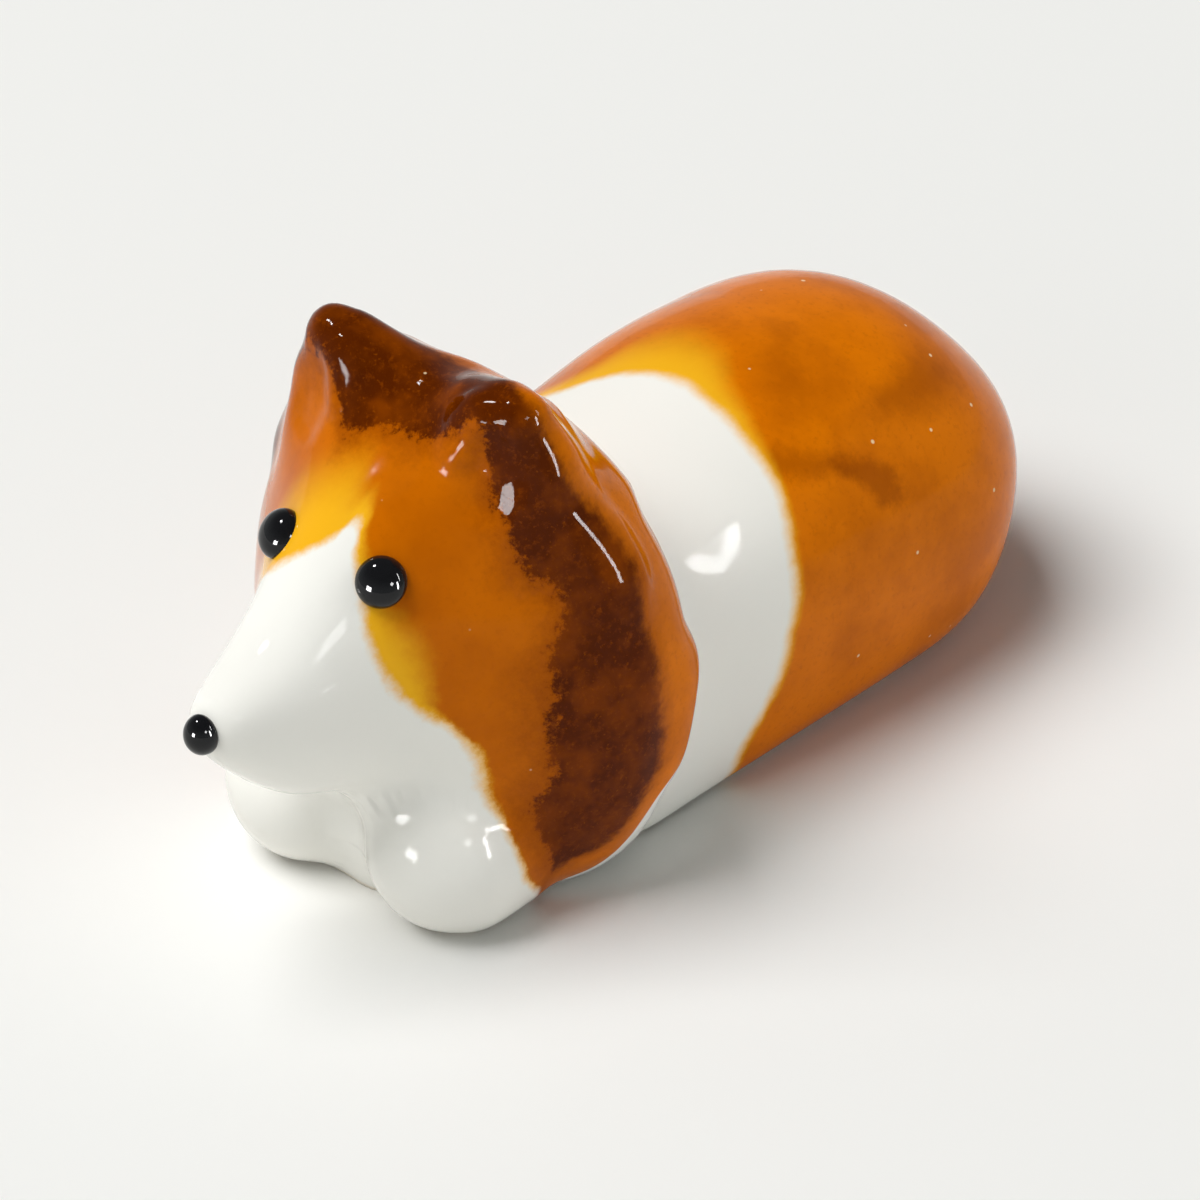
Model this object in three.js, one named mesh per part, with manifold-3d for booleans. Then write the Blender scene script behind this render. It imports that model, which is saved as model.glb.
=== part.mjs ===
// Chopstick rest: a glazed porcelain dog that lies flat, chin over its forepaws. Chopsticks lie across
// the low neck saddle between its mane and its back. Millimetres, +Z up, nose towards -Y, its left side
// +X, origin on the table under the middle of the part. Distances along the dog are counted back from
// the tip of the muzzle.
import * as THREE from "three";
import { mergeVertices } from "three/addons/utils/BufferGeometryUtils.js";
import Module from "manifold-3d";

// Head: one lump from the muzzle over the brow and cheeks to the hood of the mane
const MUZZLE_TIP_RADIUS = 1.5;
const MUZZLE_TIP_HEIGHT = 16.4;
const TIP_TO_MUZZLE = 6;
const MUZZLE_WIDTH = 7.8;
const MUZZLE_TOP = 20;
const MUZZLE_CHIN = 9.5;
const MUZZLE_TO_BROW = 4.2;
const BROW_WIDTH = 11.2;
const BROW_TOP = 24.3;
const BROW_CHIN = 7.6;
const BROW_TO_CHEEK = 4;
const CHEEK_WIDTH = 18.6;
const CHEEK_TOP = 26.9;
const CHEEK_CHIN = 1.6;
const CHEEK_TO_CROWN = 5.2;
const CROWN_WIDTH = 25.2;
const CROWN_TOP = 29.2;
const CROWN_TO_MANE = 3.6;
const MANE_WIDTH = 26.4;
const MANE_TOP = 27.4;
const MANE_TO_NAPE = 4.2;
const NAPE_WIDTH = 25.2;
const NAPE_TOP = 22.8;
const MANE_FOOT_WIDTH = 13.2;
const MANE_WIDEST_HEIGHT = 14.2;
const MANE_LEAN = 6;
const MANE_RIM_ROUNDING = 3.2;

// Torso: a rolled log pressed flat on the table
const CHEST_IN_MANE = 8.2;
const CHEST_ROUNDING = 7;
const NAPE_TO_BACK = 8.8;
const BACK_TO_RUMP = 13;
const RUMP_ROUNDING = 12.4;
const SADDLE_TOP = 18;
const SADDLE_WIDTH = 19.8;
const BACK_TOP = 19.5;
const BACK_WIDTH = 22.4;
const BACK_WIDEST_HEIGHT = 10.5;
const RUMP_TOP = 19.4;
const TAIL_DROP = 2.4;
const RUMP_WIDTH = 24.4;
const RUMP_WIDEST_HEIGHT = 8.8;
const TORSO_FOOT_WIDTH = 16.6;

// Ears: pinched peaks at the corners of the crown
const EAR_ABOVE_CROWN = 2.2;
const EAR_TIP_SPREAD = 11;
const EAR_TIP_ROUNDING = 1.7;
const EAR_ROOT_DEPTH = 6.4;
const EAR_ROOT_SPREAD = 8;
const EAR_BREADTH = 11.8;
const EAR_THICKNESS = 8.2;
const EAR_TIP_BREADTH = 4;
const EAR_TIP_THICKNESS = 3;
const EAR_AHEAD_OF_CROWN = 1.3;

// Forepaws: two clay rolls side by side under the chin
const PAW_SPREAD = 10;
const PAW_WIDTH = 9.2;
const PAW_HEIGHT = 9.2;
const PAW_WIDEST_HEIGHT = 4.4;
const PAW_FOOT_WIDTH = 4;
const PAW_FROM_TIP = 9;
const PAW_LENGTH = 9;

// Black beads
const EYE_DIAMETER = 2.8;
const EYE_PROUD = 1;
const EYE_ANGLE = 51;
const NOSE_DIAMETER = 2;
const NOSE_HEIGHT = 2.3;
const NOSE_PROUD = 0.9;

// Slip between two clay pieces
const SLIP_JOINT = 0.3;

// Glaze colours
const PORCELAIN = 0xf2efe8;
const AMBER = 0xc07a1a;
const DARK_BROWN = 0x5a2c12;
const BLACK = 0x080808;
const GLAZE_ROUGHNESS = 0.1;

const MUZZLE = TIP_TO_MUZZLE;
const BROW = MUZZLE + MUZZLE_TO_BROW;
const CHEEK = BROW + BROW_TO_CHEEK;
const CROWN = CHEEK + CHEEK_TO_CROWN;
const MANE = CROWN + CROWN_TO_MANE;
const NAPE = MANE + MANE_TO_NAPE;
const BACK = NAPE + NAPE_TO_BACK;
const RUMP = BACK + BACK_TO_RUMP;
const TAIL = RUMP + RUMP_ROUNDING;
const TIP_Y = (NOSE_PROUD - TAIL) / 2;

const wasm = await Module();
wasm.setup();

// A smooth curve through [position, value] pairs, read as the value at a position
function profile(...pairs) {
  const last = pairs.length - 1;
  const rise = (i, j) => (pairs[j][1] - pairs[i][1]) / (pairs[j][0] - pairs[i][0]);
  const slope = (k) => rise(Math.max(0, k - 1), Math.min(last, k + 1));
  return (at) => {
    if (at <= pairs[0][0]) return pairs[0][1];
    if (at >= pairs[last][0]) return pairs[last][1];
    const i = pairs.findIndex(([position]) => position > at) - 1;
    const [x0, y0] = pairs[i];
    const [x1, y1] = pairs[i + 1];
    const h = x1 - x0;
    const t = (at - x0) / h;
    const start = y0 + t * h * slope(i);
    const end = y1 - (1 - t) * h * slope(i + 1);
    return start + (end - start) * t * t * (3 - 2 * t);
  };
}

const QUARTER_STEPS = 8;
const END_STEPS = 7;
const STATION_PITCH = 1.6;
const EAR_SIDES = 20;
const BEAD_SIDES = 16;
const BEAD_RINGS = 10;
const SKIN_STEP = 0.05;

// One closed section across the dog: a rounded loaf, cut flat where it would go under the table
function loaf({ at, half, top, mid, bottom, foot, lean = 0, grow = 0 }) {
  const ring = [];
  const w = half + grow;
  const rise = top + grow - mid;
  const drop = mid - bottom + grow;
  for (let i = 0; i < 2 * QUARTER_STEPS; i += 1) {
    const angle = (Math.PI * i) / (2 * QUARTER_STEPS);
    ring.push(new THREE.Vector3(w * Math.cos(angle), 0, mid + rise * Math.sin(angle)));
  }
  for (let i = 0; i <= QUARTER_STEPS; i += 1) {
    const angle = (Math.PI * i) / (2 * QUARTER_STEPS);
    ring.push(new THREE.Vector3(-foot - (w - foot) * Math.cos(angle), 0, mid - drop * Math.sin(angle)));
  }
  for (let i = QUARTER_STEPS; i > 0; i -= 1) {
    const angle = (Math.PI * i) / (2 * QUARTER_STEPS);
    ring.push(new THREE.Vector3(foot + (w - foot) * Math.cos(angle), 0, mid - drop * Math.sin(angle)));
  }
  ring.forEach((p) => p.setY(TIP_Y + at - lean * (NAPE_TOP - p.z)));
  return ring;
}

// A closed skin through rings of equal count, with a fan on each end to a pole or to the ring's middle
function loft(rings, frontPole, rearPole) {
  const points = [];
  const faces = [];
  const count = rings[0].length;
  rings.forEach((ring) => ring.forEach((p) => points.push(p.x, p.y, p.z)));
  for (let r = 0; r + 1 < rings.length; r += 1) {
    for (let i = 0; i < count; i += 1) {
      const a = r * count + i;
      const b = r * count + ((i + 1) % count);
      faces.push(a, a + count, b, b, a + count, b + count);
    }
  }
  const middle = (ring) => ring.reduce((sum, p) => sum.add(p), new THREE.Vector3()).divideScalar(count);
  const fan = (base, pole, flip) => {
    const hub = points.length / 3;
    points.push(pole.x, pole.y, pole.z);
    for (let i = 0; i < count; i += 1) {
      const a = base + i;
      const b = base + ((i + 1) % count);
      faces.push(...(flip ? [hub, a, b] : [hub, b, a]));
    }
  };
  fan(0, frontPole ?? middle(rings[0]), true);
  fan((rings.length - 1) * count, rearPole ?? middle(rings[rings.length - 1]), false);
  const geometry = new THREE.BufferGeometry();
  geometry.setAttribute("position", new THREE.Float32BufferAttribute(points, 3));
  geometry.setIndex(faces);
  return geometry;
}

// A point in the dog's middle plane
function onAxis(at, z) {
  return new THREE.Vector3(0, TIP_Y + at, z);
}

function solidOf(geometry) {
  const bare = geometry.clone();
  bare.deleteAttribute("normal");
  bare.deleteAttribute("uv");
  const merged = mergeVertices(bare, 1e-4);
  return new wasm.Manifold(
    new wasm.Mesh({
      numProp: 3,
      vertProperties: merged.attributes.position.array,
      triVerts: new Uint32Array(merged.index.array),
    }),
  );
}

function geometryOf(solid) {
  const { vertProperties, triVerts } = solid.getMesh();
  const geometry = new THREE.BufferGeometry();
  geometry.setAttribute("position", new THREE.BufferAttribute(vertProperties, 3));
  geometry.setIndex(new THREE.BufferAttribute(triVerts, 1));
  geometry.computeVertexNormals();
  return geometry;
}

// Share of the full section that is left at a distance in from the pole of a round end
function roundEnd(fromPole, rounding) {
  const t = Math.min(1, Math.max(0, 1 - fromPole / rounding));
  return Math.sqrt(1 - t * t);
}

// Where sections are taken: close together in the round ends, evenly between them
function stations(from, to, frontRounding, rearRounding) {
  const inEnd = (i) => 1 - Math.cos((Math.PI * i) / (2 * END_STEPS));
  const list = [];
  for (let i = 1; i <= END_STEPS && frontRounding > 0; i += 1) list.push(from + frontRounding * inEnd(i));
  if (frontRounding === 0) list.push(from);
  const length = to - rearRounding - from - frontRounding;
  const steps = Math.ceil(length / STATION_PITCH);
  for (let i = 1; i < steps; i += 1) list.push(from + frontRounding + (length * i) / steps);
  for (let i = END_STEPS; i >= 1 && rearRounding > 0; i -= 1) list.push(to - rearRounding * inEnd(i));
  if (rearRounding === 0) list.push(to);
  return list;
}

// A section of a lump that is pressed flat on the table, drawn in by a share near its round ends
function pressed({ at, half, top, mid, foot, share, grow = 0 }) {
  const pole = Math.sqrt(1 - (foot / half) ** 2);
  return loaf({
    at,
    half: half * share,
    top: mid + (top - mid) * share,
    mid,
    bottom: Math.max(0, mid - (mid / pole) * share),
    foot: half * Math.sqrt(Math.max(0, share ** 2 - pole ** 2)),
    grow,
  });
}

function torsoGeometry(grow = 0) {
  const chest = NAPE - CHEST_IN_MANE;
  const half = profile(
    [chest, SADDLE_WIDTH / 2],
    [NAPE, SADDLE_WIDTH / 2],
    [BACK, BACK_WIDTH / 2],
    [RUMP, RUMP_WIDTH / 2],
    [TAIL, RUMP_WIDTH / 2],
  );
  const top = profile(
    [chest, SADDLE_TOP],
    [NAPE, SADDLE_TOP],
    [BACK, BACK_TOP],
    [RUMP, RUMP_TOP],
    [TAIL, RUMP_TOP - TAIL_DROP],
  );
  const mid = profile(
    [chest, BACK_WIDEST_HEIGHT],
    [BACK, BACK_WIDEST_HEIGHT],
    [RUMP, RUMP_WIDEST_HEIGHT],
    [TAIL, RUMP_WIDEST_HEIGHT],
  );
  const front = CHEST_ROUNDING + grow;
  const rear = RUMP_ROUNDING + grow;
  const sections = stations(chest - grow, TAIL + grow, front, rear).map((at) =>
    pressed({
      at,
      half: half(at),
      top: top(at),
      mid: mid(at),
      foot: TORSO_FOOT_WIDTH / 2,
      share: roundEnd(at - chest + grow, front) * roundEnd(TAIL - at + grow, rear),
      grow,
    }),
  );
  return loft(sections, onAxis(chest - grow, mid(chest)), onAxis(TAIL + grow, mid(TAIL)));
}

const headHalf = profile(
  [0, MUZZLE_TIP_RADIUS],
  [MUZZLE, MUZZLE_WIDTH / 2],
  [BROW, BROW_WIDTH / 2],
  [CHEEK, CHEEK_WIDTH / 2],
  [CROWN, CROWN_WIDTH / 2],
  [MANE, MANE_WIDTH / 2],
  [NAPE, NAPE_WIDTH / 2],
);
const headTop = profile(
  [0, MUZZLE_TIP_HEIGHT + MUZZLE_TIP_RADIUS],
  [MUZZLE, MUZZLE_TOP],
  [BROW, BROW_TOP],
  [CHEEK, CHEEK_TOP],
  [CROWN, CROWN_TOP],
  [MANE, MANE_TOP],
  [NAPE, NAPE_TOP],
);
const headBottom = profile(
  [0, MUZZLE_TIP_HEIGHT - MUZZLE_TIP_RADIUS],
  [MUZZLE, MUZZLE_CHIN],
  [BROW, BROW_CHIN],
  [CHEEK, CHEEK_CHIN],
  [CROWN, 0],
  [NAPE, 0],
);
const headMid = profile(
  [0, MUZZLE_TIP_HEIGHT],
  [CHEEK, MANE_WIDEST_HEIGHT],
  [NAPE, MANE_WIDEST_HEIGHT],
);
const headFoot = profile(
  [BROW, 0],
  [CROWN, MANE_FOOT_WIDTH / 2],
  [NAPE, MANE_FOOT_WIDTH / 2],
);

const headLean = profile(
  [CHEEK, 0],
  [NAPE, Math.tan(THREE.MathUtils.degToRad(MANE_LEAN))],
);

// The head's skin at a distance from the tip and an angle up from the widest line on its left side
function headSection(at, grow) {
  const share = roundEnd(at + grow, MUZZLE_TIP_RADIUS + grow);
  const rim = MANE_RIM_ROUNDING * (1 - roundEnd(NAPE - at, MANE_RIM_ROUNDING));
  const mid = headMid(at);
  return {
    at,
    half: headHalf(at) * share - rim,
    top: mid + (headTop(at) - mid) * share - rim,
    mid,
    bottom: mid - (mid - Math.max(0, headBottom(at))) * share,
    foot: headFoot(at) * share,
    lean: headLean(at),
    grow,
  };
}

function headSkin(at, angle) {
  const { half, top, mid, lean } = headSection(at, 0);
  const z = mid + (top - mid) * Math.sin(angle);
  return new THREE.Vector3(half * Math.cos(angle), TIP_Y + at - lean * (NAPE_TOP - z), z);
}

function headGeometry(grow = 0) {
  const list = stations(-grow, NAPE, MUZZLE_TIP_RADIUS + grow, MANE_RIM_ROUNDING);
  return loft(list.map((at) => loaf(headSection(at, grow))), onAxis(-grow, MUZZLE_TIP_HEIGHT));
}

function pawGeometry(side) {
  const half = PAW_WIDTH / 2;
  const sections = stations(PAW_FROM_TIP, PAW_FROM_TIP + PAW_LENGTH, half, 0).map((at) =>
    pressed({
      at,
      half,
      top: PAW_HEIGHT,
      mid: PAW_WIDEST_HEIGHT,
      foot: PAW_FOOT_WIDTH / 2,
      share: roundEnd(at - PAW_FROM_TIP, half),
    }),
  );
  const geometry = loft(sections, onAxis(PAW_FROM_TIP, PAW_WIDEST_HEIGHT));
  geometry.translate((side * PAW_SPREAD) / 2, 0, 0);
  return geometry;
}

function earGeometry(side) {
  const height = EAR_ROOT_DEPTH + EAR_ABOVE_CROWN;
  const root = CROWN_TOP - EAR_ROOT_DEPTH;
  const y = TIP_Y + CROWN - EAR_AHEAD_OF_CROWN;
  const sections = stations(0, height, 0, EAR_TIP_ROUNDING).map((at) => {
    const up = at / height;
    const share = roundEnd(height - at, EAR_TIP_ROUNDING);
    const halfBreadth = (share * THREE.MathUtils.lerp(EAR_BREADTH, EAR_TIP_BREADTH, up)) / 2;
    const halfThickness = (share * THREE.MathUtils.lerp(EAR_THICKNESS, EAR_TIP_THICKNESS, up)) / 2;
    const x = (side * THREE.MathUtils.lerp(EAR_ROOT_SPREAD, EAR_TIP_SPREAD, up)) / 2;
    const ring = [];
    for (let i = 0; i < EAR_SIDES; i += 1) {
      const angle = (-2 * Math.PI * i) / EAR_SIDES;
      ring.push(
        new THREE.Vector3(
          x + halfBreadth * Math.cos(angle),
          y + halfThickness * Math.sin(angle),
          root + at,
        ),
      );
    }
    return ring;
  });
  return loft(sections, null, new THREE.Vector3((side * EAR_TIP_SPREAD) / 2, y, root + height));
}

// A flattened bead that lies on the brow, its short axis along the skin's outward direction
function eyeGeometry(side) {
  const angle = THREE.MathUtils.degToRad(EYE_ANGLE);
  const seat = headSkin(BROW, angle);
  const along = headSkin(BROW + SKIN_STEP, angle).sub(headSkin(BROW - SKIN_STEP, angle));
  const around = headSkin(BROW, angle + SKIN_STEP).sub(headSkin(BROW, angle - SKIN_STEP));
  const outward = along.cross(around).negate().normalize();
  const geometry = new THREE.SphereGeometry(EYE_DIAMETER / 2, BEAD_SIDES, BEAD_RINGS);
  geometry.scale(1, (2 * EYE_PROUD) / EYE_DIAMETER, 1);
  geometry.applyQuaternion(new THREE.Quaternion().setFromUnitVectors(new THREE.Vector3(0, 1, 0), outward));
  geometry.translate(seat.x, seat.y, seat.z);
  if (side < 0) {
    geometry.scale(-1, 1, 1);
    geometry.setIndex(Array.from(geometry.index.array).reverse());
  }
  return geometry;
}

function noseGeometry() {
  const radius = NOSE_DIAMETER / 2;
  const geometry = new THREE.SphereGeometry(radius, BEAD_SIDES, BEAD_RINGS);
  geometry.scale(1, 1, NOSE_HEIGHT / NOSE_DIAMETER);
  geometry.translate(0, TIP_Y - NOSE_PROUD + radius, MUZZLE_TIP_HEIGHT);
  return geometry;
}

const rest = new THREE.Group();

function addPiece(name, solid, colour, roughness) {
  const material = new THREE.MeshStandardMaterial({ color: colour, roughness, metalness: 0 });
  const mesh = new THREE.Mesh(geometryOf(solid), material);
  mesh.name = name;
  rest.add(mesh);
}

const torsoSeat = solidOf(torsoGeometry(SLIP_JOINT));
const headSeat = solidOf(headGeometry(SLIP_JOINT));
addPiece("torso", solidOf(torsoGeometry()), AMBER, GLAZE_ROUGHNESS);
addPiece("head", solidOf(headGeometry()).subtract(torsoSeat), AMBER, GLAZE_ROUGHNESS);
for (const [name, side] of [["left", 1], ["right", -1]]) {
  const ear = solidOf(earGeometry(side)).subtract(headSeat);
  addPiece(`${name}_ear`, ear, DARK_BROWN, GLAZE_ROUGHNESS);
  const paw = solidOf(pawGeometry(side)).subtract(headSeat).subtract(torsoSeat);
  addPiece(`${name}_forepaw`, paw, PORCELAIN, GLAZE_ROUGHNESS);
  const eye = solidOf(eyeGeometry(side)).subtract(headSeat);
  addPiece(`${name}_eye`, eye, BLACK, GLAZE_ROUGHNESS);
}
addPiece("nose_bead", solidOf(noseGeometry()).subtract(headSeat), BLACK, GLAZE_ROUGHNESS);

export default rest;
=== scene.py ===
# %% [markdown]
# A porcelain chopstick rest, step by step
#
# The object is a small dog that lies flat with its chin over its forepaws. It is rolled from white clay,
# painted with amber and dark brown colour, and dipped in a clear glaze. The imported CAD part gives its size
# and its place. This lesson dresses it: one glossy skin over the clay, three raised black beads, and a soft
# studio. Lengths are in millimetres wherever MM is multiplied in, and points on the dog are given as
# across, back from the tip of the nose, and up.

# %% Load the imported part
import math

import bpy
import numpy as np
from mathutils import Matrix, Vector


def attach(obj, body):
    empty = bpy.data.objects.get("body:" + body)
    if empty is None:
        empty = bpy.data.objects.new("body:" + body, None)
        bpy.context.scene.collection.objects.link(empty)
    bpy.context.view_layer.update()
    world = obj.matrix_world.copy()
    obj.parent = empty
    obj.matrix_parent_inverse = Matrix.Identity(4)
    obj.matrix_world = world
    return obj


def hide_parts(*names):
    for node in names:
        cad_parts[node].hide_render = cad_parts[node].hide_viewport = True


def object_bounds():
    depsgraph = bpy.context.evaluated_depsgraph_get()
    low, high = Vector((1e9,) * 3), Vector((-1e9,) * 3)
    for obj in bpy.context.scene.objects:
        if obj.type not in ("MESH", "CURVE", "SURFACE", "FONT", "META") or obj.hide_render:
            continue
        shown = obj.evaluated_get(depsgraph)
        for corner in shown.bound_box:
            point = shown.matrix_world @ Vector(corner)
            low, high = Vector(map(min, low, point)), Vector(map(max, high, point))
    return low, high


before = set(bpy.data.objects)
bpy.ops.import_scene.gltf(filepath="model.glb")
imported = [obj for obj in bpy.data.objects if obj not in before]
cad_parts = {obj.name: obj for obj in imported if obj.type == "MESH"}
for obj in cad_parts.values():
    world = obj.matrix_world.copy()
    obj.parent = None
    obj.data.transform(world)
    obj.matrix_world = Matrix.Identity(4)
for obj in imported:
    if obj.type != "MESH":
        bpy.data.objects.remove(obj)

MM = 0.001
cad_low, cad_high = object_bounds()
NOSE_Y = cad_low.y / MM
print("the CAD box in mm:", [round(v / MM, 2) for v in (*cad_low, *cad_high)])

# %% [markdown]
# Camera
#
# The photograph looks down on the dog from its front left. The angle could be set by eye, but here it was
# measured: the pairs of eyes, ears and paws are symmetric, so they give the turn and the height of the
# camera. A long lens from half a metre away keeps the perspective as mild as it is in a product photograph.

# %% Place the camera
TURN = math.radians(40.3)
HEIGHT = math.radians(34)
AWAY = 0.45
AIM = Vector((2.21, -1.02, 10.73)) * MM
SENSOR_WIDTH = 36
FOCAL_LENGTH = 249.8

level = math.cos(HEIGHT)
towards_camera = Vector((math.sin(TURN) * level, -math.cos(TURN) * level, math.sin(HEIGHT)))
facing_dog = (-towards_camera).to_track_quat("-Z", "Y").to_euler()
bpy.ops.object.camera_add(location=AIM + towards_camera * AWAY, rotation=facing_dog)
camera = bpy.context.object
camera.name = "studio_camera"
camera.data.sensor_width = SENSOR_WIDTH
camera.data.lens = FOCAL_LENGTH
bpy.context.scene.camera = camera
print("camera at", [round(v, 3) for v in camera.location])

# %% [markdown]
# Table top
#
# The dog stands on a plain pale sheet that runs past the edges of the picture and catches a soft shadow. A
# curved backdrop would do as well, but seen from above only its floor shows, so one flat plane is enough.

# %% Lay the table top
PAPER = (0.9, 0.892, 0.865, 1)

bpy.context.scene.view_settings.view_transform = "Standard"
bpy.ops.object.select_all(action="DESELECT")
bpy.ops.mesh.primitive_plane_add(size=4)
table_top = bpy.context.object
table_top.name = "table_top"
paper = bpy.data.materials.new("pale_paper")
paper.use_nodes = True
paper_shader = paper.node_tree.nodes["Principled BSDF"]
paper_shader.inputs["Base Color"].default_value = PAPER
paper_shader.inputs["Roughness"].default_value = 0.9
paper_shader.inputs["Specular IOR Level"].default_value = 0.0
table_top.data.materials.append(paper)
print("table top", [round(v, 2) for v in table_top.dimensions])

# %% [markdown]
# Studio light
#
# A glossy glaze shows every lamp as a bright shape. A picture of a studio could be wrapped round the scene,
# but then each shape is stuck where the picture has it. Here the work is shared. Three wide panels, overhead,
# in front and behind on the right, light the dog and stay out of the glaze. Five small lamps are only there
# to be mirrored in it: a round one high on the left, a softbox in front, a softbox, a tall narrow window and
# a strip on the right. Around them is a light tent, bright at the height of the table and dim overhead.


# %% Hang the lamps
def hang_lamp(name, direction, distance, width, height, radiance, spin=0.0, disk=False, mirrored=True):
    place = Vector(direction).normalized() * distance
    bpy.ops.object.light_add(type="AREA", location=place)
    lamp = bpy.context.object
    lamp.name = name
    lamp.rotation_euler = (-place).to_track_quat("-Z", "Y").to_euler()
    lamp.rotation_euler.rotate_axis("Z", math.radians(spin))
    lamp.data.shape = "DISK" if disk else "RECTANGLE"
    lamp.data.size = width
    lamp.data.size_y = height
    area = math.pi * (width / 2) ** 2 if disk else width * height
    lamp.data.energy = radiance * math.pi * area
    lamp.visible_glossy = mirrored
    lamp.visible_diffuse = not mirrored
    print(name, "power", round(lamp.data.energy, 2), "W")
    return lamp


hang_lamp("top_panel", (-0.31, -0.36, 0.88), 3.0, 2.0, 2.0, 7.3, mirrored=False)
rear_panel = hang_lamp("rear_panel", (0.66, 0.6, 0.45), 0.8, 0.7, 0.3, 3.0, mirrored=False)
hang_lamp("front_panel", (0.15, -0.9, 0.35), 1.0, 0.8, 0.4, 0.65, mirrored=False)
hang_lamp("round_lamp", (-0.47, -0.17, 0.87), 0.9, 0.1, 0.1, 150, disk=True)
hang_lamp("front_softbox", (-0.18, -0.97, 0.1), 0.7, 0.2, 0.2, 70)
hang_lamp("side_softbox", (0.82, -0.32, 0.48), 0.8, 0.14, 0.14, 30, spin=45)
hang_lamp("window", (0.76, 0.35, 0.55), 0.8, 0.03, 0.34, 60, spin=-20)
hang_lamp("tall_strip", (0.97, 0.08, 0.2), 0.8, 0.09, 0.4, 90)

# %% Light the tent
TENT_CLOTH = (0.93, 1.0, 1.0, 1)
LOW_GLOW = 0.48
HIGH_GLOW = 0.1
HIGH_FROM = 0.75

world = bpy.data.worlds.new("studio")
bpy.context.scene.world = world
world.use_nodes = True
tent = world.node_tree
height = tent.nodes.new("ShaderNodeSeparateXYZ")
tent.links.new(tent.nodes.new("ShaderNodeTexCoord").outputs["Generated"], height.inputs[0])
glow = tent.nodes.new("ShaderNodeMapRange")
glow.interpolation_type = "SMOOTHSTEP"
glow.inputs["From Min"].default_value = 0.0
glow.inputs["From Max"].default_value = HIGH_FROM
glow.inputs["To Min"].default_value = LOW_GLOW
glow.inputs["To Max"].default_value = HIGH_GLOW
tent.links.new(height.outputs["Z"], glow.inputs["Value"])
tent.links.new(glow.outputs[0], tent.nodes["Background"].inputs["Strength"])
tent.nodes["Background"].inputs["Color"].default_value = TENT_CLOTH
print("the tent glows from", LOW_GLOW, "at the table to", HIGH_GLOW, "overhead")

# %% [markdown]
# Clay body
#
# On the real dog the trunk, head, ears and paws are soft clay lumps that are luted together with slip, and
# the glaze then fills every joint with a small round fillet. The CAD keeps these lumps apart by a thin gap.
# A boolean union would join them, but with a hard crease at every joint. So a copy of each is merged, turned
# back into four-sided faces and subdivided until it is smooth. Then all of them are swollen a little, melted
# into one skin by a voxel remesh and shrunk back by the same amount. Whatever is narrower than the swelling
# is closed for good, which is what the slip and the glaze do.

# %% Copy the clay lumps
CLAY_NODES = ("torso", "head", "left_ear", "right_ear", "left_forepaw", "right_forepaw")
SHARP = math.radians(40)


def pick_object(piece):
    bpy.ops.object.select_all(action="DESELECT")
    piece.select_set(True)
    bpy.context.view_layer.objects.active = piece


def modify(piece, kind, **settings):
    pick_object(piece)
    modifier = piece.modifiers.new(kind.lower(), kind)
    for key, value in settings.items():
        setattr(modifier, key, value)
    bpy.ops.object.modifier_apply(modifier=modifier.name)


def copy_lump(cad_node):
    lump = bpy.data.objects.new("clay_" + cad_node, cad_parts[cad_node].data.copy())
    bpy.context.scene.collection.objects.link(lump)
    pick_object(lump)
    bpy.ops.object.mode_set(mode="EDIT")
    bpy.ops.mesh.select_all(action="SELECT")
    bpy.ops.mesh.remove_doubles(threshold=0.001 * MM)
    bpy.ops.mesh.tris_convert_to_quads(face_threshold=math.radians(25), shape_threshold=math.radians(60))
    bpy.ops.mesh.select_all(action="DESELECT")
    bpy.ops.mesh.edges_select_sharp(sharpness=SHARP)
    bpy.ops.transform.edge_crease(value=1)
    bpy.ops.object.mode_set(mode="OBJECT")
    modify(lump, "SUBSURF", levels=2, render_levels=2)
    return lump


lumps = [copy_lump(cad_node) for cad_node in CLAY_NODES]
print("clay lumps:", {lump.name: len(lump.data.polygons) for lump in lumps})

# %% [markdown]
# Pellets
#
# Behind the ears and between the paws the hollows are wider than slip can fill, and a potter presses a
# pellet of clay in first. More swelling would close these hollows too, but it would blunt the ears as well,
# so each hollow gets flattened balls of its own, the same on both sides.

# %% Roll pellets for the hollows
PELLETS = (
    ((4.6, 20.6, 26.9), (2.8, 3.0, 2.3)),
    ((6.6, 20.6, 25.6), (2.2, 2.6, 2.6)),
    ((3.3, 19.3, 28.2), (2.6, 2.4, 2.3)),
    ((7.2, 19.4, 25.6), (2.4, 2.4, 3.8)),
    ((3.6, 13.4, 6.6), (3.4, 2.6, 2.4)),
)
CHIN_PELLET = ((0, 15.4, 4.0), (4.0, 3.0, 6.0))


def clay_pellet(centre, radii):
    x, from_nose, z = centre
    bpy.ops.mesh.primitive_uv_sphere_add(segments=32, ring_count=16, radius=1,
                                         location=Vector((x, NOSE_Y + from_nose, z)) * MM)
    pellet = bpy.context.object
    pellet.scale = Vector(radii) * MM
    bpy.ops.object.transform_apply(location=True, rotation=True, scale=True)
    return pellet


pellets = [clay_pellet((side * x, y, z), radii) for (x, y, z), radii in PELLETS for side in (1, -1)]
pellets.append(clay_pellet(*CHIN_PELLET))
print("pellets rolled:", len(pellets))

# %% Melt them into one skin
VOXEL = 0.29 * MM
NECK_FILLET = 0.5 * MM
LIMB_FILLET = 1.6 * MM


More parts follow.
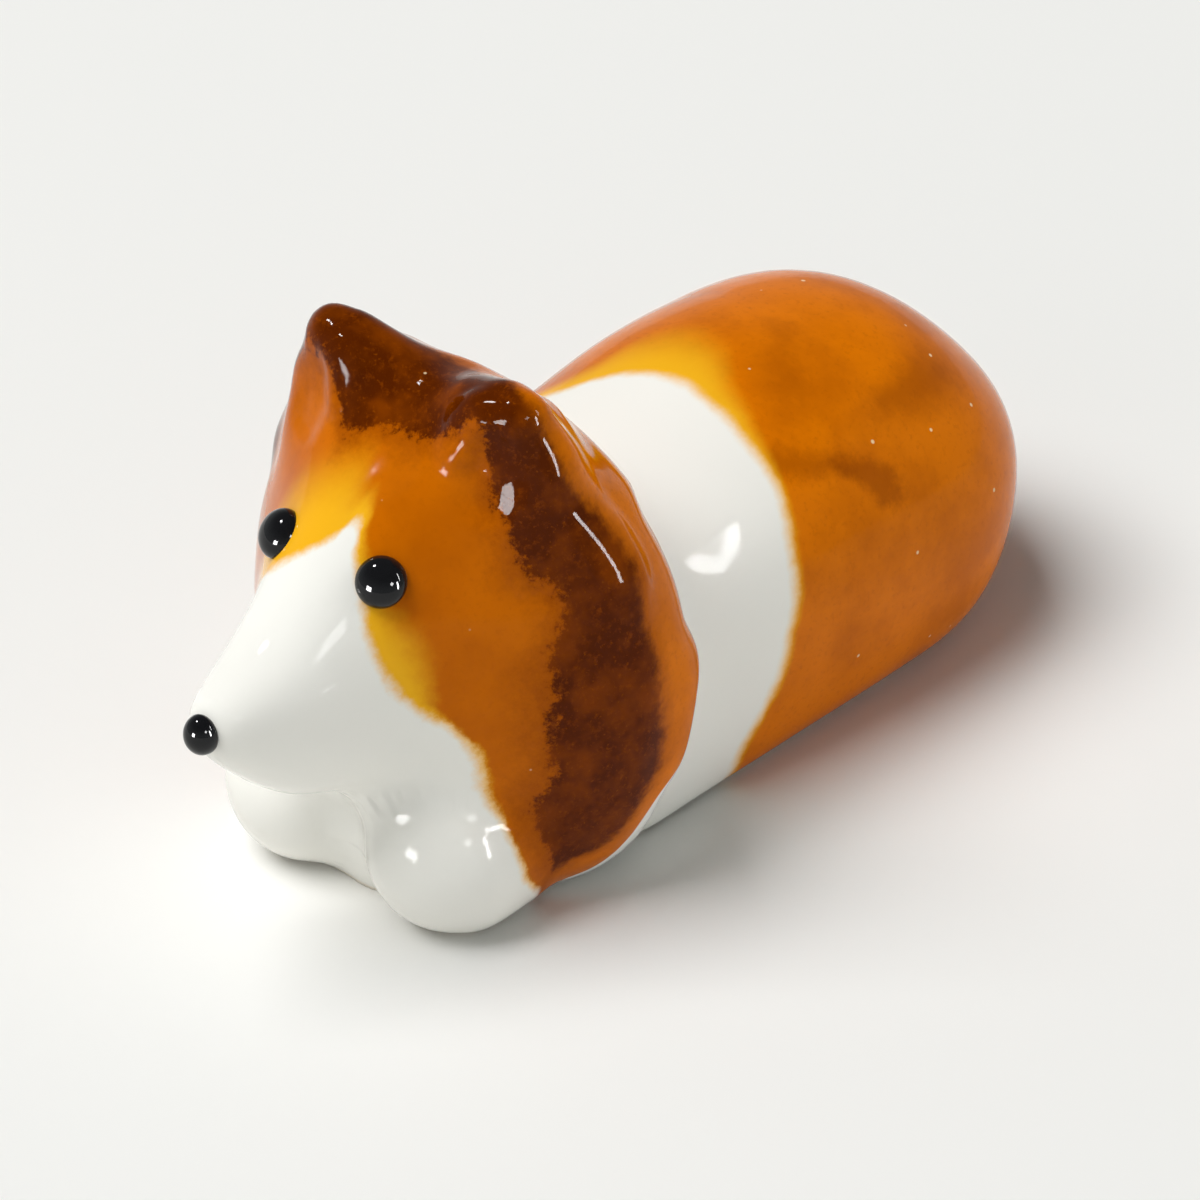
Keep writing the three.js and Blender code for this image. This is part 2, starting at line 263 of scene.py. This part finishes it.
def melt(pieces, fillet):
    for piece in pieces:
        modify(piece, "DISPLACE", direction="NORMAL", strength=fillet, mid_level=0)
    bpy.ops.object.select_all(action="DESELECT")
    for piece in pieces:
        piece.select_set(True)
    bpy.context.view_layer.objects.active = pieces[0]
    bpy.ops.object.join()
    melted = bpy.context.object
    modify(melted, "REMESH", mode="VOXEL", voxel_size=VOXEL, use_smooth_shade=True)
    modify(melted, "SMOOTH", factor=0.5, iterations=6)
    modify(melted, "DISPLACE", direction="NORMAL", strength=-fillet, mid_level=0)
    modify(melted, "SMOOTH", factor=0.5, iterations=3)
    return melted


torso, head, *limbs = lumps
skin = melt([torso, head], NECK_FILLET)
skin = melt([skin, *limbs, *pellets], LIMB_FILLET)
skin.name = "glazed_body"
skin.data.materials.clear()
print("skin:", len(skin.data.vertices), "points,", len(skin.data.polygons), "faces")

# %% [markdown]
# Fingers on the clay
#
# The potter's fingers pinch a ridge along the mane and down the front of each ear, and press the cheeks and
# the outside of the ears hollow. By hand these would be sculpt brushes, which a script can't repeat. So a
# stroke is a few points in a row: the skin near the row is fattened or thinned along its normals with
# proportional editing, which carries the skin around it along. Other patches are only evened out.


# %% Pick points of a piece
def select_points(piece, wanted):
    piece.data.polygons.foreach_set("select", np.zeros(len(piece.data.polygons), bool))
    piece.data.edges.foreach_set("select", np.zeros(len(piece.data.edges), bool))
    piece.data.vertices.foreach_set("select", wanted)


def points_of(piece):
    flat = np.empty(3 * len(piece.data.vertices), np.float32)
    piece.data.vertices.foreach_get("co", flat)
    return flat.reshape(-1, 3)


def one_side(points):
    return np.column_stack((np.abs(points[:, 0]), points[:, 1] - NOSE_Y, points[:, 2]))


def near_row(points, row, grip):
    points = one_side(points)
    nearest = np.full(len(points), np.inf)
    for start, end in zip(np.array(row[:-1], float), np.array(row[1:], float)):
        span = end - start
        share = np.clip((points - start) @ span / (span @ span), 0, 1)
        nearest = np.minimum(nearest, np.linalg.norm(points - start - share[:, None] * span, axis=1))
    return nearest < grip


print("the skin's highest point in mm:", round(float(points_of(skin)[:, 2].max()) / MM, 2))


# %% Two moves of the fingers
def stroke(name, row, by, reach, grip=0.8):
    wanted = near_row(points_of(skin) / MM, row, grip)
    select_points(skin, wanted)
    bpy.ops.object.mode_set(mode="EDIT")
    bpy.ops.transform.shrink_fatten(value=by * MM, use_proportional_edit=True,
                                    proportional_edit_falloff="SMOOTH", proportional_size=reach * MM)
    bpy.ops.object.mode_set(mode="OBJECT")
    print(name, "moved", int(wanted.sum()), "points by", by, "mm")


def even_out(name, low, high, repeat):
    points = one_side(points_of(skin) / MM)
    wanted = np.all((points >= low) & (points <= high), axis=1)
    select_points(skin, wanted)
    bpy.ops.object.mode_set(mode="EDIT")
    bpy.ops.mesh.vertices_smooth(factor=0.5, repeat=repeat)
    bpy.ops.object.mode_set(mode="OBJECT")
    print(name, "evened out over", int(wanted.sum()), "points")


bpy.context.tool_settings.mesh_select_mode = (True, False, False)
pick_object(skin)
even_out("hood", (0, 12, 20), (13, 26, 33), 35)
even_out("brow", (0, 11, 21), (9.5, 17, 28), 50)
even_out("muzzle", (0, 2, 12), (8, 11.5, 24), 25)

# %% Pinch and press
RIDGE = [(7.2, 18.4, 30), (8.6, 19.2, 27.5), (9.9, 20.1, 24.8), (11.1, 20.8, 22), (12, 21, 19.6)]

stroke("mane_fill", [(10.7, 20, 23.4), (11, 20.2, 22.4), (11.3, 20.4, 21.4)], 0.55, 2.6)
stroke("mane_thin", [(8.8, 18.4, 28), (9.5, 18.9, 26.8), (9.9, 19.2, 25.8)], -0.4, 1.8)
stroke("mane_ridge", RIDGE, 0.4, 1.7)
stroke("mane_rear", [(9.4, 26, 20.8), (10.8, 26, 18.6), (11.6, 26, 16.6)], -0.4, 2.0)
stroke("ear_front", [(4.6, 17.4, 29.6), (4.2, 17.2, 28.6), (3.5, 16.8, 26.4)], 0.35, 1.3)
stroke("ear_hollow", [(6.2, 17, 28), (6.0, 16.6, 26)], -0.35, 1.6)
stroke("mane_foot", [(11.9, 26.2, 12.5), (11.9, 26, 10.5), (11.7, 25.4, 8.5)], 0.5, 2.8)
stroke("muzzle", [(0, 5.5, 19), (0, 7.5, 20.4)], 0.3, 4.5)
stroke("rump", [(0, 43, 20), (0, 52, 20)], 0.55, 9.0, 2.0)

# %% Stroke it even with a wet thumb
even_out("mane", (5, 17, 3), (13.4, 26, 30.5), 14)
even_out("mane_ridge", (7, 17.5, 18), (13.4, 22, 30), 30)
even_out("mane_rim", (8, 22, 4), (13.4, 28, 20), 20)
modify(skin, "SMOOTH", factor=0.5, iterations=2)

# %% [markdown]
# Foot
#
# The rest stands on the table on the flat foot of its trunk and paws. A cut with bisect would leave an open
# edge to be filled. Instead the lowest points of the skin are scaled flat onto the table, as a potter sands
# a foot on a wet stone.

# %% Flatten the foot
FOOT = 0.12 * MM

pick_object(skin)
select_points(skin, points_of(skin)[:, 2] < FOOT)
bpy.ops.object.mode_set(mode="EDIT")
bpy.ops.transform.resize(value=(1, 1, 0), center_override=(0, 0, 0))
bpy.ops.object.mode_set(mode="OBJECT")
bpy.ops.object.shade_smooth()
print("lowest point in mm:", round(float(points_of(skin)[:, 2].min()) / MM, 4))

# %% [markdown]
# Painted glaze
#
# The colours lie under one clear glaze. They could be painted by hand on an unwrapped texture, but a picture
# file stays behind when the part is used elsewhere. The brush lines run round the dog like belts, so each is
# drawn as a curve of distance from the nose against the angle round the body, both taken from Object
# coordinates. Noise roughens the lines, and colour is thin and yellow where a brush stroke begins.

# %% Helpers for the glaze's nodes
glaze = bpy.data.materials.new("painted_glaze")
glaze.use_nodes = True
tree = glaze.node_tree
shader = tree.nodes["Principled BSDF"]


def plug(value, socket):
    if isinstance(value, bpy.types.NodeSocket):
        tree.links.new(value, socket)
    else:
        socket.default_value = value


def node(kind, values=None, **settings):
    made = tree.nodes.new(kind)
    for key, value in settings.items():
        setattr(made, key, value)
    for key, value in (values or {}).items():
        plug(value, made.inputs[key])
    return made


def calc(operation, *values):
    return node("ShaderNodeMath", dict(enumerate(values)), operation=operation).outputs[0]


def vector_calc(operation, *values):
    return node("ShaderNodeVectorMath", dict(enumerate(values)), operation=operation)


def fade(value, start, end):
    values = {"Value": value, "From Min": start, "From Max": end}
    return node("ShaderNodeMapRange", values, interpolation_type="SMOOTHSTEP").outputs[0]


def blend_colour(share, under, over):
    made = node("ShaderNodeMix", data_type="RGBA")
    for value, socket in ((share, 0), (under, 6), (over, 7)):
        plug(value, made.inputs[socket])
    return made.outputs[2]


print("the glaze starts from", shader.name)

# %% Measure along and round the body
AXIS_HEIGHT = 12.0

place = node("ShaderNodeTexCoord").outputs["Object"]
in_mm = node("ShaderNodeVectorMath", {0: place, "Scale": 1 / MM}, operation="SCALE").outputs[0]
across, along, up = node("ShaderNodeSeparateXYZ", {0: in_mm}).outputs
from_nose = calc("SUBTRACT", along, NOSE_Y)
round_body = calc("ARCTAN2", across, calc("SUBTRACT", up, AXIS_HEIGHT))
turn = calc("ADD", calc("DIVIDE", round_body, 2 * math.pi), 0.5)


def noise(scale, detail=2.0, roughness=0.5, offset=(0, 0, 0)):
    moved = node("ShaderNodeMapping", {"Vector": in_mm, "Location": offset}).outputs[0]
    values = {"Vector": moved, "Scale": scale, "Detail": detail, "Roughness": roughness}
    return calc("SUBTRACT", node("ShaderNodeTexNoise", values).outputs[0], 0.5)


slow = noise(0.12, 2, 0.5)
grain = noise(1.1, 4, 0.7)
fine = noise(2.2, 4, 0.75, (3, 1, 8))
print("angles are taken round an axis", AXIS_HEIGHT, "mm above the table")

# %% How a brush line is drawn
LONGEST = 64.0


def brush_line(name, degrees_and_mm):
    made = node("ShaderNodeFloatCurve", {"Value": turn}, name=name)
    curve = made.mapping.curves[0]
    spots = [((degrees + 180) / 360, mm / LONGEST) for degrees, mm in degrees_and_mm]
    curve.points[0].location = spots[0]
    curve.points[1].location = spots[-1]
    for spot in spots[1:-1]:
        curve.points.new(*spot)
    made.mapping.update()
    lengths = [mm for _, mm in degrees_and_mm]
    print(name, "runs from", min(lengths), "to", max(lengths), "mm")
    return calc("MULTIPLY", made.outputs[0], LONGEST)


def wobble(grain_mm, slow_mm):
    return calc("MULTIPLY_ADD", grain, grain_mm, calc("MULTIPLY", slow, slow_mm))


def past(line, ragged):
    return calc("ADD", calc("SUBTRACT", from_nose, line), ragged)


def both_sides(left_half):
    return (*((-degrees, mm) for degrees, mm in reversed(left_half[1:])), *left_half)


print("brush lines may reach", LONGEST, "mm back from the nose")

# %% Brush lines of the head
WHITE_FACE = (
    (-180, 18), (-143, 18), (-131, 15.3), (-113, 14), (-84, 13), (-64, 11.5), (-42, 10), (-26, 9.5),
    (-14, 9.3), (-6, 9.6), (0, 10.4), (3, 11.1), (5.4, 12), (8.5, 11.2), (12, 10.6), (19, 10), (26, 9.6),
    (42, 10), (64, 11.5), (81, 12.8), (92, 13.4), (108, 13.9), (117, 14.3), (124, 14.8), (132, 15.5),
    (139, 16.9), (180, 19),
)
DARK_FRONT = (
    (-180, 22), (-128, 17.2), (-111, 16.3), (-84, 16.3), (-60, 16.7), (-46, 19.3), (-37, 20.3), (-26, 21),
    (-19, 20.8), (-14, 19.6), (-10, 18.1), (-6, 18.7), (-2, 19.3), (6, 19.3), (12, 20), (17, 20.4),
    (23.5, 19), (31, 18.4), (37, 17.6), (47, 18), (55, 17.6), (60, 16.7), (72, 16.7), (84, 16.3),
    (99, 16.6), (111, 16.1), (124, 16.6), (128, 17.2), (180, 22),
)
DARK_REAR = (
    (-180, 16), (-132, 18.2), (-127, 19.9), (-114, 21.8), (-104, 22.5), (-87, 22.2), (-74, 22),
    (-61, 22.2), (-52, 22.5), (-44, 22.6), (-33, 22.4), (-22, 21.8), (-10, 21.4), (0, 21.5), (10, 20.6),
    (16, 19.2), (22, 18.6), (28, 18.9), (33, 19.4), (38, 20.3), (44, 20.8), (52, 21.3), (61, 21.3),
    (74, 21.9), (87, 22.2), (95, 22.5), (104, 22.5), (114, 21.8), (120, 21.1), (127, 19.9), (132, 18.2),
    (180, 16),
)
MANE_REAR = both_sides((
    (0, 28.2), (16, 28.1), (36, 28), (54, 27.8), (66, 27.7), (76, 27.4), (86, 27.2), (95, 27), (101, 26.6),
    (107, 25.4), (112, 24.2), (120, 22.9), (128, 21.8), (136, 20.4), (142, 19), (180, 17.5),
))
past_face = past(brush_line("white_face", WHITE_FACE), wobble(0.7, 1.2))
dark_wobble = calc("MULTIPLY_ADD", fine, 2.0, wobble(1.8, 1.2))
raised = calc("MULTIPLY", calc("MAXIMUM", calc("SUBTRACT", up, 20), 0), 0.4)
past_dark = calc("ADD", past(brush_line("dark_front", DARK_FRONT), dark_wobble), raised)
past_band = past(brush_line("dark_rear", DARK_REAR), wobble(1.4, 1.0))
past_mane = past(brush_line("mane_rear", MANE_REAR), 0.0)

# %% Brush lines of the back, and how wide the yellow is
COLLAR_REAR = (
    (-180, 31.5), (-137, 32.4), (-96, 33.4), (-60, 34.6), (-35, 36.2), (-29, 36.9), (-13, 38), (2, 38.4),
    (20, 38.2), (34, 38.2), (48, 37.9), (61, 37.6), (74, 36.8), (86, 36.1), (98, 35.4), (111, 34.8),
    (123, 34), (137, 32.9), (180, 31.5),
)
FRONT_YELLOW = (
    (-180, 0.4), (-95, 0.5), (-60, 0.8), (-40, 2.4), (-26, 4), (-14, 5), (-6, 5.4), (-2, 5), (1, 3.4),
    (4, 2), (8, 1), (12, 1), (24, 1.6), (35, 2.2), (48, 2), (58, 1.2), (68, 0.6), (95, 0.5), (180, 0.4),
)
BACK_YELLOW = (
    (-180, 0.9), (-90, 1.1), (-50, 2), (-37, 3.4), (-25, 5.4), (2, 5), (19, 2.8), (40, 1.5), (60, 1),
    (100, 0.9), (180, 0.9),
)
past_collar = past(brush_line("collar_rear", COLLAR_REAR), wobble(0.5, 2.0))
front_thin = calc("DIVIDE", past_face, brush_line("front_yellow", FRONT_YELLOW))
back_thin = calc("DIVIDE", past_collar, brush_line("back_yellow", BACK_YELLOW))

# %% [markdown]
# Colours under the glaze
#
# Iron colour goes from yellow where it is thin through amber and rust to dark brown where it is thick. One
# colour ramp could do that, but the thick and thin places are painted on purpose, so the colours are laid
# over each other in the painter's order: amber with its blotches, yellow edges, then the dark band.

# %% Amber with its blotches
PORCELAIN = (0.86, 0.845, 0.79, 1)
YELLOW = (0.84, 0.42, 0.012, 1)
AMBER = (0.68, 0.165, 0.0, 1)
BURNT = (0.42, 0.09, 0.0, 1)
RUST = (0.25, 0.047, 0.0, 1)
BROWN = (0.085, 0.013, 0.0, 1)

pooled = fade(noise(0.17, 4, 0.6, (7, 3, 1)), -0.12, 0.22)
speckled = fade(noise(3.2, 2, 0.6), 0.0, 0.3)
amber = blend_colour(calc("MULTIPLY", pooled, 0.6), AMBER, BURNT)
amber = blend_colour(calc("MULTIPLY", speckled, 0.35), amber, BURNT)
cheek = blend_colour(0.45, amber, BURNT)
front_amber = blend_colour(fade(front_thin, 0.25, 1.2), YELLOW, cheek)
print("amber mixed with", len(tree.nodes), "nodes so far")

# %% Rust strokes on the back
SMUDGES = (
    ((7.4, 38.8, 17.4), (9.0, 42.0, 16.4), 1.5, 0.5),
    ((9.0, 42.0, 16.4), (10.2, 44.2, 14.8), 1.0, 0.6),
    ((7.6, 47.5, 17.2), (7.6, 52.5, 16.4), 2.3, 0.55),
    ((2.0, 46.0, 19.8), (5.0, 43.0, 18.8), 1.6, 0.3),
)


def smudge(start, end, size, strength):
    start, end = (Vector((x, NOSE_Y + distance, z)) for x, distance, z in (start, end))
    span = end - start
    away = vector_calc("SUBTRACT", in_mm, start).outputs[0]
    ahead = vector_calc("DOT_PRODUCT", away, span).outputs["Value"]
    share = calc("DIVIDE", ahead, span.length_squared)
    share = calc("MINIMUM", calc("MAXIMUM", share, 0), 1)
    foot = node("ShaderNodeVectorMath", {0: span, "Scale": share}, operation="SCALE").outputs[0]
    gap = vector_calc("DISTANCE", away, foot).outputs["Value"]
    ragged = calc("MULTIPLY_ADD", slow, 5.0, calc("MULTIPLY_ADD", grain, 1.5, gap))
    return calc("MULTIPLY", fade(ragged, size, 0.0), strength)


back = amber
for mark in SMUDGES:
    back = blend_colour(smudge(*mark), back, RUST)
back_amber = blend_colour(fade(back_thin, 0.1, 1.0), YELLOW, back)
print("rust strokes:", len(SMUDGES))

# %% Dark band over the mane
brown = blend_colour(calc("MULTIPLY", fade(noise(2.2, 4, 0.7, (2, 9, 4)), 0.0, 0.3), 0.7), BROWN, RUST)
brown = blend_colour(calc("MULTIPLY", fade(noise(5.0, 2, 0.6, (4, 4, 9)), 0.1, 0.28), 0.35), brown, BURNT)
brown = blend_colour(calc("MULTIPLY", fade(noise(0.35, 3, 0.6, (3, 1, 7)), -0.1, 0.2), 0.6), brown, RUST)
shaded = blend_colour(calc("MULTIPLY", fade(past_dark, -2.4, 0.6), 0.75), front_amber, RUST)
behind = blend_colour(calc("MULTIPLY", fade(past_band, 1.6, -0.5), 0.7), amber, RUST)
mane_amber = blend_colour(fade(past_band, -1.5, 0.0), shaded, behind)
dark = calc("MULTIPLY", fade(past_dark, -0.25, 0.35), fade(past_band, 0.5, -0.5))
mane = blend_colour(dark, mane_amber, brown)
print("dark band mixed with", len(tree.nodes), "nodes so far")

# %% White face, collar and back
face = blend_colour(fade(past_face, -0.35, 0.45), PORCELAIN, mane)
front_half = blend_colour(fade(past_mane, -0.12, 0.12), face, PORCELAIN)
painted = blend_colour(fade(past_collar, -0.5, 0.6), front_half, back_amber)
print("painting laid with", len(tree.nodes), "nodes so far")

# %% Pinholes and the bare foot
SPECK = (0.9, 0.7, 0.4, 1)
BISQUE = (0.8, 0.74, 0.64, 1)

cell = node("ShaderNodeTexVoronoi", {"Vector": in_mm, "Scale": 0.36}).outputs["Distance"]
on_mane = calc("MULTIPLY", fade(past_face, 0.2, 0.8), fade(past_mane, -0.2, -0.6))
coloured = calc("MAXIMUM", fade(past_collar, 0.2, 0.8), on_mane)
pinhole = calc("MULTIPLY", fade(cell, 0.055, 0.03), coloured)
glazed = blend_colour(calc("MULTIPLY", pinhole, 0.8), painted, SPECK)
bare = fade(calc("MULTIPLY_ADD", grain, 0.15, up), 0.34, 0.2)
plug(blend_colour(bare, glazed, BISQUE), shader.inputs["Base Color"])
print("base colour joined to", shader.inputs["Base Color"].links[0].from_node.bl_idname)

# %% Gloss and surface
GLAZE_IOR = 1.5
BARE_ROUGHNESS = 0.7
RELIEF = 0.04 * MM

gloss = calc("MULTIPLY_ADD", fade(noise(0.5, 3, 0.6, (5, 5, 5)), -0.2, 0.3), 0.05, 0.035)
gloss = calc("MULTIPLY", gloss, calc("SUBTRACT", 1, bare))
plug(calc("ADD", gloss, calc("MULTIPLY", bare, BARE_ROUGHNESS)), shader.inputs["Roughness"])
orange_peel = calc("MULTIPLY", noise(0.4, 2, 0.5, (1, 2, 3)), 0.3)
brushed = calc("MULTIPLY", noise(2.4, 3, 0.6), calc("MULTIPLY", dark, 0.12))
relief = calc("SUBTRACT", calc("ADD", orange_peel, brushed), calc("MULTIPLY", pinhole, 0.5))
bump = node("ShaderNodeBump", {"Height": relief, "Distance": RELIEF, "Strength": 0.8})
plug(bump.outputs[0], shader.inputs["Normal"])
shader.inputs["IOR"].default_value = GLAZE_IOR
shader.inputs["Specular IOR Level"].default_value = 0.06
print("painted glaze:", len(tree.nodes), "nodes")

# %% Dip the body
skin.data.materials.append(glaze)
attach(skin, "root")
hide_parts(*CLAY_NODES)
print("glazed body box in mm:", [round(v / MM, 2) for v in skin.dimensions])

# %% [markdown]
# Black beads
#
# The eyes and the nose are drops of thick black glaze. They could be painted on like the rest, but on the
# real dog they stand proud and each mirrors the lamps by itself. A drop has its widest line where it sits on
# the skin, so a ball is flattened, its lower half is pressed into a shallow seat, and it is turned to the
# skin's outward direction.

# %% Black glaze
BLACK = (0.006, 0.006, 0.007, 1)

black = bpy.data.materials.new("black_glaze")
black.use_nodes = True
drop_tree = black.node_tree
drop_shader = drop_tree.nodes["Principled BSDF"]
drop_shader.inputs["Base Color"].default_value = BLACK
drop_shader.inputs["IOR"].default_value = GLAZE_IOR
drop_shader.inputs["Specular IOR Level"].default_value = 0.3
spot_on_drop = drop_tree.nodes.new("ShaderNodeTexCoord")
ripple = drop_tree.nodes.new("ShaderNodeTexNoise")
ripple.inputs["Scale"].default_value = 0.8 / MM
sheen = drop_tree.nodes.new("ShaderNodeMapRange")
sheen.inputs["To Min"].default_value = 0.03
sheen.inputs["To Max"].default_value = 0.09
drop_tree.links.new(spot_on_drop.outputs["Object"], ripple.inputs["Vector"])
drop_tree.links.new(ripple.outputs[0], sheen.inputs["Value"])
drop_tree.links.new(sheen.outputs[0], drop_shader.inputs["Roughness"])
print("black glaze:", len(drop_tree.nodes), "nodes")

# %% Set the beads
SEAT_DEPTH = 0.6
BELOW_EDGE = -0.01 * MM


def set_bead(name, cad_node, seat, outward, wide, tall, proud):
    bpy.ops.object.select_all(action="DESELECT")
    bpy.ops.mesh.primitive_uv_sphere_add(segments=48, ring_count=24, radius=0.5)
    bead = bpy.context.object
    bead.name = name
    bead.scale = Vector((wide, tall, 2 * proud)) * MM
    bpy.ops.object.transform_apply(location=True, rotation=True, scale=True)
    select_points(bead, points_of(bead)[:, 2] < BELOW_EDGE)
    bpy.ops.object.mode_set(mode="EDIT")
    bpy.ops.transform.resize(value=(1, 1, SEAT_DEPTH), center_override=(0, 0, 0))
    bpy.ops.object.mode_set(mode="OBJECT")
    bead.location = Vector(seat) * MM
    bead.rotation_euler = Vector(outward).to_track_quat("Z", "Y").to_euler()
    bpy.ops.object.transform_apply(location=True, rotation=True, scale=True)
    bpy.ops.object.shade_smooth()
    bead.data.materials.append(black)
    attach(bead, "root")
    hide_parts(cad_node)
    print(name, "box in mm:", [round(v / MM, 2) for v in bead.dimensions])
    return bead


EYE_Y = NOSE_Y + 11.1
beads = [
    set_bead("left_eye_bead", "left_eye", (3.5, EYE_Y, 22.2), (0.34, -0.71, 0.61), 2.8, 2.8, 1.0),
    set_bead("right_eye_bead", "right_eye", (-3.5, EYE_Y, 22.2), (-0.34, -0.71, 0.61), 2.8, 2.8, 1.0),
    set_bead("nose_drop", "nose_bead", (0, NOSE_Y + 1.0, 16.4), (0, -1, 0), 2.0, 2.3, 1.0),
]

# %% [markdown]
# Light from behind, on the dog alone
#
# In a studio the panel behind on the right is masked with cards, so that it brightens the dog's flank and
# leaves the shadow on the table clean. Cards could be modelled and moved until they fit. Light linking does
# the same work exactly: the panel gets a list of the pieces that it may light, and none of its light
# bounces on from the dog to the table.

# %% Mask the rear panel
dog = bpy.data.collections.new("dog")
for piece in (skin, *beads):
    dog.objects.link(piece)
rear_panel.light_linking.receiver_collection = dog
rear_panel.data.cycles.max_bounces = 0
